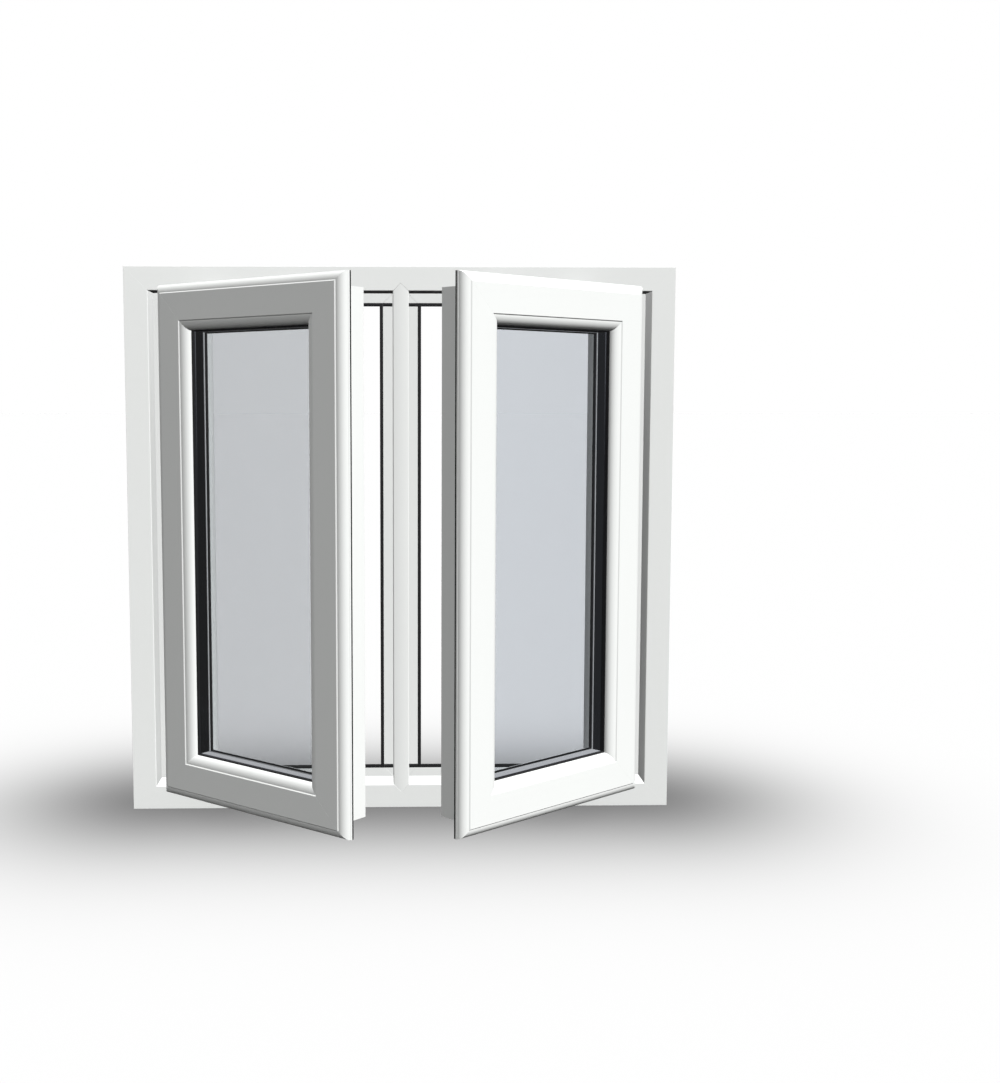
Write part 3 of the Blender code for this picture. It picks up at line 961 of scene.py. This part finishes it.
    def gasket_tail(self, side: Side, stage: Stage) -> Object:
        """The level run of a weather gasket carried on over the mullion's upstand, up to its nose.

        Args:
            side: the light that the gasket runs round.
            stage: its lower or its upper run.

        Returns:
            The object.
        """
        deep, wide = self.gasket
        back = self.rebate - CLEAR
        corners = np.array([[back - deep, 0.0], [back - deep, wide], [back, wide], [back, 0.0]])
        section = rounded(corners, np.array([self.bulb, self.bulb, CLEAR, CLEAR]))
        meets_ring = self.mullion_half + self.upstand - wide - self.tail_gap
        ends = -side.value * np.array([[self.mullion_half + CLEAR], [meets_ring]])
        middle = self.height / 2
        level = middle - stage.value * (middle - self.nose - self.upstand + wide - section[:, 1])
        rings = stations(ends, self.front + section[:, 0], level)
        return swept(f"{side.label}_{stage.label}_gasket_tail", rings)


# ---------------------------------------------------------------- sash


@dataclass
class Sash:
    """One open sash: welded bars, sealed unit, beads and gaskets."""

    side: Side
    materials: Palette = field(repr=False)
    open_angle: float = math.radians(41.3)
    width: float = 0.414
    height: float = 0.838
    hinge_x: float = field(init=False)
    hinge_y: float = field(init=False)
    middle_z: float = 0.450
    face_depth: float = 0.017
    ovolo_top: float = 0.0155
    ovolo_width: float = 0.0135
    quirk: float = 0.0015
    flange_edge: float = 0.0035
    face_inset: float = 0.059
    sight: float = 0.075
    lip: float = 0.0045
    lip_back: float = 0.0037
    floor: float = 0.062
    body_depth: float = 0.052
    body_inset: float = 0.020
    glass: float = 0.004
    cavity: float = 0.020
    bead_gap: float = 0.003
    glass_inset: float = 0.065
    arris: float = 0.0004
    pivot: Pair = (0.0745, 0.011)
    fixed: Pair = (0.264, -0.027)
    short_arm: float = 0.0805

    def __post_init__(self) -> None:
        """Works out where the flange's hinge corner stands from the stay's pivots."""
        s, c = math.sin(self.open_angle), math.cos(self.open_angle)
        joint = np.array([-self.fixed[0] - self.short_arm * c, self.fixed[1] - self.short_arm * s])
        corner = joint - self.pivot[0] * np.array([c, -s]) - self.pivot[1] * np.array([s, c])
        self.hinge_x, self.hinge_y = float(corner[0]), float(corner[1])

    @property
    def unit(self) -> float:
        """Thickness of the sealed unit: two panes and the space between."""
        return 2 * self.glass + self.cavity

    @property
    def body(self) -> str:
        """The CAD body that the sash is."""
        return f"{self.side.label}_sash"

    @property
    def across(self) -> Array:
        """Direction from the hinge edge to the lock edge."""
        sign = self.side.value
        return np.array([sign * math.cos(self.open_angle), -math.sin(self.open_angle), 0.0])

    @property
    def inward(self) -> Array:
        """Direction from the outside to the room through the sash."""
        sign = self.side.value
        return np.array([sign * math.sin(self.open_angle), math.cos(self.open_angle), 0.0])

    @property
    def plane(self) -> Plane:
        """The sash's outer rectangle at the back of its flange; left and right as seen from outside.

        Returns:
            The plane.
        """
        sign = self.side.value
        corner = np.array([sign * self.hinge_x, self.hinge_y, self.middle_z])
        center = corner + self.across * self.width / 2
        return Plane(tuple(center), tuple(sign * self.across), tuple(self.inward), self.width, self.height)

    def at(self, from_hinge: float, depth: float, z: float) -> Array:
        """World place of a point at a distance from the hinge edge, a depth and a height."""
        corner = np.array([self.side.value * self.hinge_x, self.hinge_y, z])
        return corner + from_hinge * self.across + depth * self.inward

    def bar_section(self) -> Array:
        """Flange with an ovolo on both edges of its flat face, quirks beside it, and the body behind.

        Returns:
            The closed outline.
        """
        outer = arc(
            (-self.flange_edge, self.ovolo_width),
            (self.ovolo_top - self.flange_edge, self.ovolo_width - 0.0006), 270, 180, 20,
        )
        start, foot = self.face_inset + self.quirk, 0.0005 - self.ovolo_top
        inner = arc((-self.lip, start), (self.ovolo_top - self.lip, self.sight - start), 180, 90, 20)
        soft = 0.0004
        face = rounded(
            np.array([
                [foot, self.ovolo_width], [-self.face_depth, self.ovolo_width + self.quirk],
                [-self.face_depth, self.face_inset], [foot, start], [0.0, self.face_inset],
            ]),
            np.array([0.0, soft, soft, 0.0, 0.0]), 3,
        )[1:-2]
        edge = rounded(
            np.array([[0.0, 0.0], [-self.flange_edge, 0.0], [-self.flange_edge, 0.01], [0, 0.01]]),
            np.array([0.0005, 0.0005, 0, 0]), 3,
        )[:8]
        back = rounded(
            np.array([
                [-self.lip_back, self.sight], [-self.lip_back, self.floor], [self.body_depth, self.floor],
                [self.body_depth, self.body_inset], [0.0, self.body_inset], [0.0, 0.0],
            ]),
            np.array([0.0, 0.0, 0.0006, 0.0009, 0.0, 0.0]),
        )[:-1]
        return np.concatenate([edge, outer[1:], face, inner, back])

    def bead_section(self) -> Array:
        """Glazing bead: foot, a short upright behind the glass and an ovolo falling away to the room.

        Returns:
            The closed outline.
        """
        foot, shelf, rise = self.floor + CLEAR, 0.068, 0.008
        depth, back = self.unit + self.bead_gap, self.body_depth
        step, flat = 0.003, 0.002
        curve = arc((depth + step, shelf), (back - depth - step - flat, rise), 90, 0, 14)
        corners = [[back - flat, shelf], [back, shelf], [back, foot], [depth, foot], [depth, shelf + rise]]
        tail = rounded(np.array(corners), np.array([0.0, 0.0012, 0.0, 0.0, 0.0005]), 5)[1:]
        return np.concatenate([tail, curve])

    def build(self) -> None:
        """Builds and dresses every piece of the sash."""
        label = self.side.label
        white = self.materials["uPVC satin white"]
        near, far = ("hinge", "lock") if self.side is Side.LEFT else ("lock", "hinge")
        bars = {"bottom": "bottom_rail", "top": "top_rail", "left": f"{near}_stile", "right": f"{far}_stile"}
        for place, name in bars.items():
            bar = mitred_bar(f"{label}_{name}_bar", self.bar_section(), self.plane, place)
            dress(bar, white, self.body, "white_upvc", f"{label}_{name}")
            bead = mitred_bar(f"{label}_{place}_glazing_bead", self.bead_section(), self.plane, place)
            dress(bead, white, self.body, "white_upvc", f"{label}_{place}_bead")
        self.seals()
        self.panes()
        self.spacer()

    def _run(
        self, name: str, corners: list, radii: list, steps: int, finish: str, slot: str, *nodes: str
    ) -> None:
        """Builds and dresses one ring round the sash.

        Args:
            name: name of the piece, without its side.
            corners: its outline in (depth, inset).
            radii: radius of each corner.
            steps: steps along each of their arcs.
            finish: name of its finish.
            slot: the record's material slot.
            nodes: the CAD nodes that it replaces, without their side.
        """
        label = self.side.label
        piece = ring(f"{label}_{name}", rounded(np.array(corners), np.array(radii), steps), self.plane)
        dress(piece, self.materials[finish], self.body, slot, *(f"{label}_{node}" for node in nodes))

    def seals(self) -> None:
        """The seal behind the flange, and the glazing seals on either side of the sealed unit."""
        rubber = (6, "gasket black rubber", "black_gasket")
        flange = [[0.0002, 0.0001], [0.0028, 0.0001], [0.0028, 0.0044], [0.0002, 0.0052]]
        self._run("flange_seal", flange, [0, 0.0003, 0.0009, 0], *rubber, "flange_gasket")
        lip = [[-0.0035, 0.066], [-0.0002, 0.066], [-0.0002, 0.0768], [-0.0035, 0.0764]]
        self._run("outer_glazing_seal", lip, [0, 0, 0.0012, 0.0014], *rubber, "outer_gasket")
        near, far = self.unit + 0.0002, self.unit + 0.0028
        wedge = [[near, 0.0645], [far, 0.0645], [far, 0.0788], [near, 0.0796]]
        self._run("inner_glazing_seal", wedge, [0, 0, 0.0008, 0.001], *rubber)

    def panes(self) -> None:
        """The two panes of the sealed unit."""
        label = self.side.label
        # The tint differs between the sashes only as painted light and shade; the glass is the same.
        tint = self.materials[f"float glass {label}"]
        for name, start in (("outer", 0.0), ("inner", self.glass + self.cavity)):
            depths = (start, start + self.glass)
            pane = plate(f"{label}_{name}_glass", self.plane, self.glass_inset, depths, self.arris)
            dress(pane, tint, self.body, "clear_glass", f"{label}_{name}_pane")

    def spacer(self) -> None:
        """The spacer bar, with soft shoulders, and the sealant that bonds it to the inner pane."""
        start, end = self.glass + CLEAR, self.glass + self.cavity - 0.0019
        shoulder, foot, top = 0.0012, 0.067, 0.077
        side = top - 0.0008
        profile = [
            [start, foot], [end, foot], [end, side], [end - shoulder, top], [start + shoulder, top],
            [start, side],
        ]
        radii = [0, 0, 0.0004, 0.0006, 0.0006, 0.0004]
        self._run("spacer_profile", profile, radii, 3, "spacer dark anodised", "black_spacer", "spacer_bar")
        near, far = end + 0.0001, end + 0.0017
        bond = [[near, foot], [far, foot], [far, top + 0.0006], [near, top + 0.0002]]
        self._run("unit_sealant", bond, [0, 0, CLEAR, CLEAR], 3, "sealant grey butyl", "black_spacer")


# ---------------------------------------------------------------- handle


@dataclass
class CockspurHandle:
    """The handle on the lock stile: a lens-shaped base with screw caps, and a lever with its spur."""

    sash: Sash
    materials: Palette = field(repr=False)
    inset: float = 0.0545
    height: float = 0.440
    base_size: Pair = (0.019, 0.062)
    base_thickness: float = 0.008
    standoff: float = 0.0231
    lever_length: float = 0.086
    lever_thickness: float = 0.0055
    hub: float = 0.0065
    roll: float = 0.0014
    spur: Pair = (0.0315, 0.011)
    screw_spacing: float = 0.043

    @property
    def placement(self) -> Placement:
        """The handle's axis at the sash's face: first towards the hinge, then to the room, then up."""
        origin = self.sash.at(self.sash.width - self.inset, self.sash.body_depth, self.height)
        return Placement(tuple(origin), tuple(-self.sash.across), tuple(self.sash.inward), (0, 0, 1))

    def build(self) -> None:
        """Builds and dresses the base and the lever."""
        label = self.sash.side.label
        coat = self.materials["handle powder coat"]
        dress(self.base(), coat, self.sash.body, "white_handle", f"{label}_handle_base")
        dress(self.lever(), coat, f"{label}_handle", "white_handle", f"{label}_handle_lever")
        profile = np.array([[0, 0.0068], [0.0034, 0.0068], [0.0036, 0.0088], [0.0030, 0.0092], [0, 0.0093]])
        for index, sign in enumerate((-1, 1)):
            origin = np.asarray(self.placement.origin) + sign * self.screw_spacing / 2 * UP
            spot = replace(self.placement, origin=tuple(origin))
            cap = lathe(f"{label}_handle_screw_cap_{index}", profile, spot)
            dress(cap, coat, self.sash.body, "white_handle")

    @staticmethod
    def stadium(width: float, length: float, around: int = 64) -> Array:
        """Outline of a flat bar with round ends: a circle whose upper and lower halves are drawn apart.

        Args:
            width: width of the bar.
            length: its length.
            around: points of the outline.

        Returns:
            The outline, (around, 2).
        """
        angle = np.linspace(0, 2 * math.pi, around, endpoint=False) + math.pi / around
        radius, shift = width / 2, (length - width) / 2
        upright = radius * np.sin(angle) + shift * np.sign(np.sin(angle))
        return np.stack([radius * np.cos(angle), upright], axis=1)

    def base(self) -> Object:
        """The base with its hub.

        Rings of the stadium shrink as they rise along a quarter ellipse, give way to the hub's circle in
        a fillet, and run up to the hub's face.

        Returns:
            The object.
        """
        outline, circle = self.stadium(*self.base_size), self.stadium(2.0, 2.0)
        top = self.base_thickness
        levels = [(CLEAR, 1.0), (top * 0.45, 1.0), (top * 0.70, 0.975), (top * 0.88, 0.92), (top, 0.83)]
        rings = [np.insert(outline * scale, 1, z, axis=1) for z, scale in levels]
        fillet = 0.0012
        for share in np.linspace(0, 1, 5):
            radius = self.hub + fillet * (1 - math.sin(share * math.pi / 2))
            z = top + fillet * (1 - math.cos(share * math.pi / 2))
            rings.append(np.insert(circle * radius, 1, z, axis=1))
        end, bevel = self.standoff - CLEAR, 0.0006
        rings.append(np.insert(circle * self.hub, 1, end - bevel, axis=1))
        rings.append(np.insert(circle * (self.hub - bevel), 1, end, axis=1))
        return swept(f"{self.sash.side.label}_handle_base_plate", self.placement.carry(np.stack(rings)))

    def lever(self) -> Object:
        """The lever and spur, level at rest: an outline thickened, with its edges rolled over.

        Rings of the outline step in along a quarter circle at the near and far face, each point moving
        along its own inward normal.

        Returns:
            The object.
        """
        tip, nib = 0.0055, 0.0015
        lean = math.degrees(math.asin((self.hub - tip) / self.lever_length))
        reach, tall = self.spur
        outline = np.concatenate([
            arc((0, 0), (self.hub, self.hub), 200, 90 + lean, 12),
            arc((self.lever_length, 0), (tip, tip), 90 - lean, -90 + lean, 14),
            np.array([[self.hub + 0.012, -self.hub + 0.0009]]),
            np.array([[tall / 2 + 0.0012, -self.hub - 0.0016]]),
            arc((tall / 2 - nib, nib - reach), (nib, nib), 0, -90, 4),
            arc((nib - tall / 2, nib - reach), (nib, nib), -90, -180, 4),
        ])
        after = np.roll(outline, -1, axis=0) - np.roll(outline, 1, axis=0)
        after /= np.linalg.norm(after, axis=1, keepdims=True)
        inward = np.stack([after[:, 1], -after[:, 0]], axis=1)
        turn = np.radians(np.linspace(0, 90, 5))
        step, rise = self.roll * (1 - np.sin(turn)), self.roll * (1 - np.cos(turn))
        steps = np.concatenate([step, step[::-1]])[:, None, None]
        height = self.standoff + np.concatenate([rise, self.lever_thickness - rise[::-1]])[:, None]
        flat = outline + inward * steps
        points = self.placement.carry(stations(flat[..., 0], height, flat[..., 1]))
        return swept(f"{self.sash.side.label}_handle_lever_arm", points)


# ---------------------------------------------------------------- stays and other CAD pieces


@dataclass
class Hardware:
    """Stays and strikers whose CAD shape is kept, with rivet heads added on the stays."""

    materials: Palette = field(repr=False)

    def build(self) -> None:
        """Dresses each kept node, and adds the rivet heads."""
        finishes = {"stainless_steel": "stay brushed steel", "nylon_shoe": "shoe dark nylon"}
        for row in FRAME["record"]["subparts"]:
            finish = finishes.get(row["material_slot"])
            if finish:
                kept = FRAME["nodes"][row["node"]]
                kept.data.materials.clear()
                kept.data.materials.append(self.materials[finish])
                LOG.info("%s kept, %s", row["node"], finish)
        for side in Side:
            for stage in Stage:
                self.rivets(side, stage)

    def rivets(self, side: Side, stage: Stage) -> None:
        """A domed head on each stud of one stay, where it ends above its arm.

        Args:
            side: the sash of the stay.
            stage: its end of that sash.
        """
        label, end = side.label, stage.label
        heads = (
            (f"{label}_{end}_track", "frame", "pivot"),
            (f"{label}_{end}_shoe", f"{label}_shoes", "slide_pin"),
        )
        profile = np.array([
            [0, 0.00005], [0.0034, 0.00005], [0.0035, 0.0002], [0.0032, 0.0007], [0.0024, 0.00105],
            [0.0012, 0.0012], [0, 0.00125],
        ])
        for node, body, name in heads:
            place = Placement(self._stud_end(node, stage), (1, 0, 0), (0, 0, float(stage.value)), (0, 1, 0))
            head = lathe(f"{label}_{end}_{name}_head", profile, place)
            dress(head, self.materials["rivet bright steel"], body, "stainless_steel")

    @staticmethod
    def _stud_end(node: str, stage: Stage) -> tuple[float, float, float]:
        """Middle of the end of a node's stud: of the corners at the node's outermost level.

        Args:
            node: the CAD node.
            stage: BOTTOM for a stud that ends upwards, TOP for one that ends downwards.

        Returns:
            The place.
        """
        mesh = FRAME["nodes"][node].data
        points = np.empty(len(mesh.vertices) * 3)
        mesh.vertices.foreach_get("co", points)
        points = points.reshape(-1, 3)
        heights = stage.value * points[:, 2]
        rim = points[heights > heights.max() - 1e-5]
        return tuple((rim.min(axis=0) + rim.max(axis=0)) / 2)


# ---------------------------------------------------------------- studio


@dataclass
class Studio:
    """Floor with a painted shadow, lights, backdrop tone and camera."""

    camera_place: tuple[float, float, float] = (-0.0304, -2.3692, 0.6790)
    yaw: float = 1.443
    pitch: float = 5.646
    focal: float = 1414.4
    principal: Pair = (418.2, 543.0)
    image: tuple[int, int] = (1000, 1083)
    sensor: float = 36.0
    floor_reach: float = 90.0
    floor_level: float = -0.0005
    floor_tone: float = 0.609
    # The fields below set a painted shadow: the floor's colour darkens in a soft oblong round the window's
    # foot.
    shade: float = 0.76
    shade_half: float = 0.40
    shade_middle: float = 0.02
    shade_fade: Pair = (0.312, 0.33)
    shade_power: Pair = (2.0, 1.9)
    dome: float = 0.64
    panel: float = 0.9
    dark: float = 0.02
    # Slope and offset of each ramp in the world's light: over X for the flanks, over Z for the dome and
    # the panels' rise, and over the distance from the XZ plane for the panels' sides.
    flank: Pair = (-0.031, 0.046)
    dome_step: Pair = (12.0, 0.5)
    rise_step: Pair = (8.0, 0.2)
    panel_step: Pair = (2.5, -0.75)
    key_energy: float = 4.2
    key_angle: float = 20.0
    key_direction: tuple[float, float, float] = (0.508, -0.46, 0.728)

    def build(self) -> None:
        """Sets up everything round the window."""
        self.floor()
        self.world()
        self.lights()
        self.camera()
        view = bpy.context.scene.view_settings
        view.view_transform = "Standard"
        view.look = "None"

    def floor(self) -> None:
        """A wide pale floor with a soft shadow painted into its colour round the window's foot."""
        reach = self.floor_reach
        mesh = bpy.data.meshes.new("studio_floor")
        mesh.from_pydata([(x * reach, y * reach, self.floor_level) for x, y in CORNERS], [], [(0, 1, 2, 3)])
        floor = bpy.data.objects.new("studio_floor", mesh)
        bpy.context.scene.collection.objects.link(floor)
        mesh.materials.append(self.floor_finish())
        floor.visible_diffuse = False
        floor.visible_glossy = False

    def floor_finish(self) -> bpy.types.Material:
        """Matt white with a painted shadow: its colour falls, in a soft oblong round the window, by one minus
        a bell curve.

        Returns:
            The material.
        """
        material, tree, shader = new_material("floor matt white")
        shader.inputs["Roughness"].default_value = 0.9
        shader.inputs["Specular IOR Level"].default_value = 0.0
        place = tree.nodes.new("ShaderNodeTexCoord")
        split = tree.nodes.new("ShaderNodeSeparateXYZ")
        tree.links.new(place.outputs["Object"], split.inputs[0])
        past = math_node(tree, "SUBTRACT", math_node(tree, "ABSOLUTE", split.outputs[0]), self.shade_half)
        aside = math_node(tree, "MAXIMUM", past, 0.0)
        ahead = math_node(tree, "ABSOLUTE", math_node(tree, "SUBTRACT", split.outputs[1], self.shade_middle))
        terms = [
            math_node(tree, "POWER", math_node(tree, "DIVIDE", distance, fade), power)
            for distance, fade, power in zip((aside, ahead), self.shade_fade, self.shade_power)
        ]
        painted_shadow = math_node(tree, "EXPONENT", math_node(tree, "MULTIPLY", math_node(tree, "ADD", *terms), -1.0))
        tone = math_node(tree, "SUBTRACT", 1.0, math_node(tree, "MULTIPLY", painted_shadow, self.shade))
        tree.links.new(math_node(tree, "MULTIPLY", tone, self.floor_tone), shader.inputs["Base Color"])
        return material

    def world(self) -> None:
        """White behind everything that is looked at.

        For diffuse light it is a dome, nearly black below the horizon. For gloss it is a bright front and
        back between dark flanks, of which the left one is a little lighter.
        """
        world = bpy.data.worlds.new("studio_world")
        bpy.context.scene.world = world
        world.use_nodes = True
        tree = world.node_tree
        background = tree.nodes["Background"]
        path = tree.nodes.new("ShaderNodeLightPath")
        place = tree.nodes.new("ShaderNodeTexCoord")
        split = tree.nodes.new("ShaderNodeSeparateXYZ")
        tree.links.new(place.outputs["Generated"], split.inputs[0])
        lit = math_node(tree, "GREATER_THAN", path.outputs["Diffuse Depth"], 0.5)
        dome = math_node(tree, "MULTIPLY_ADD", split.outputs[2], *self.dome_step, clamp=True)
        dome = math_node(tree, "MULTIPLY_ADD", dome, self.dome, self.dark)
        ahead = math_node(tree, "ABSOLUTE", split.outputs[1])
        panel = math_node(tree, "MULTIPLY_ADD", ahead, *self.panel_step, clamp=True)
        rise = math_node(tree, "MULTIPLY_ADD", split.outputs[2], *self.rise_step, clamp=True)
        slope = math_node(tree, "MULTIPLY_ADD", split.outputs[0], *self.flank)
        flank = math_node(tree, "MULTIPLY_ADD", math_node(tree, "SUBTRACT", 1.0, panel), slope, self.dark)
        gloss = math_node(tree, "MULTIPLY_ADD", math_node(tree, "MULTIPLY", panel, rise), self.panel, flank)
        seen = math_node(tree, "LESS_THAN", path.outputs["Glossy Depth"], 0.5)
        tone = tree.nodes.new("ShaderNodeMix")
        tree.links.new(seen, tone.inputs["Factor"])
        tree.links.new(gloss, tone.inputs["A"])
        tone.inputs["B"].default_value = 1.0
        final = tree.nodes.new("ShaderNodeMix")
        tree.links.new(lit, final.inputs["Factor"])
        tree.links.new(tone.outputs["Result"], final.inputs["A"])
        tree.links.new(dome, final.inputs["B"])
        tree.links.new(final.outputs["Result"], background.inputs["Color"])
        background.inputs["Strength"].default_value = 1.0

    def lights(self) -> None:
        """One broad key light from the front right and above, without hard shadows."""
        data = bpy.data.lights.new("key", "SUN")
        data.energy = self.key_energy
        data.angle = math.radians(self.key_angle)
        data.use_shadow = False
        key = bpy.data.objects.new("key", data)
        x, y, z = np.array(self.key_direction) / np.linalg.norm(self.key_direction)
        key.rotation_euler = (math.acos(z), 0.0, math.atan2(x, -y))
        bpy.context.scene.collection.objects.link(key)

    def camera(self) -> None:
        """The camera, its lens and its shift."""
        data = bpy.data.cameras.new("camera")
        data.sensor_width = self.sensor
        data.lens = self.focal * self.sensor / self.image[1]
        data.shift_x = (self.image[0] / 2 - self.principal[0]) / self.image[1]
        data.shift_y = (self.principal[1] - self.image[1] / 2) / self.image[1]
        camera = bpy.data.objects.new("camera", data)
        camera.location = self.camera_place
        camera.rotation_euler = (math.radians(90 - self.pitch), 0.0, math.radians(-self.yaw))
        bpy.context.scene.collection.objects.link(camera)
        bpy.context.scene.camera = camera


def main() -> None:
    """Builds the window's looks piece by piece, then the studio."""
    logging.basicConfig(level=logging.INFO, format="%(name)s: %(message)s")
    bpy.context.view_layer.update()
    palette = Palette(EffectLibrary())
    OuterFrame(palette).build()
    for side in Side:
        sash = Sash(side, palette)
        sash.build()
        CockspurHandle(sash, palette).build()
    Hardware(palette).build()
    Studio().build()


if __name__ == "__main__":
    main()
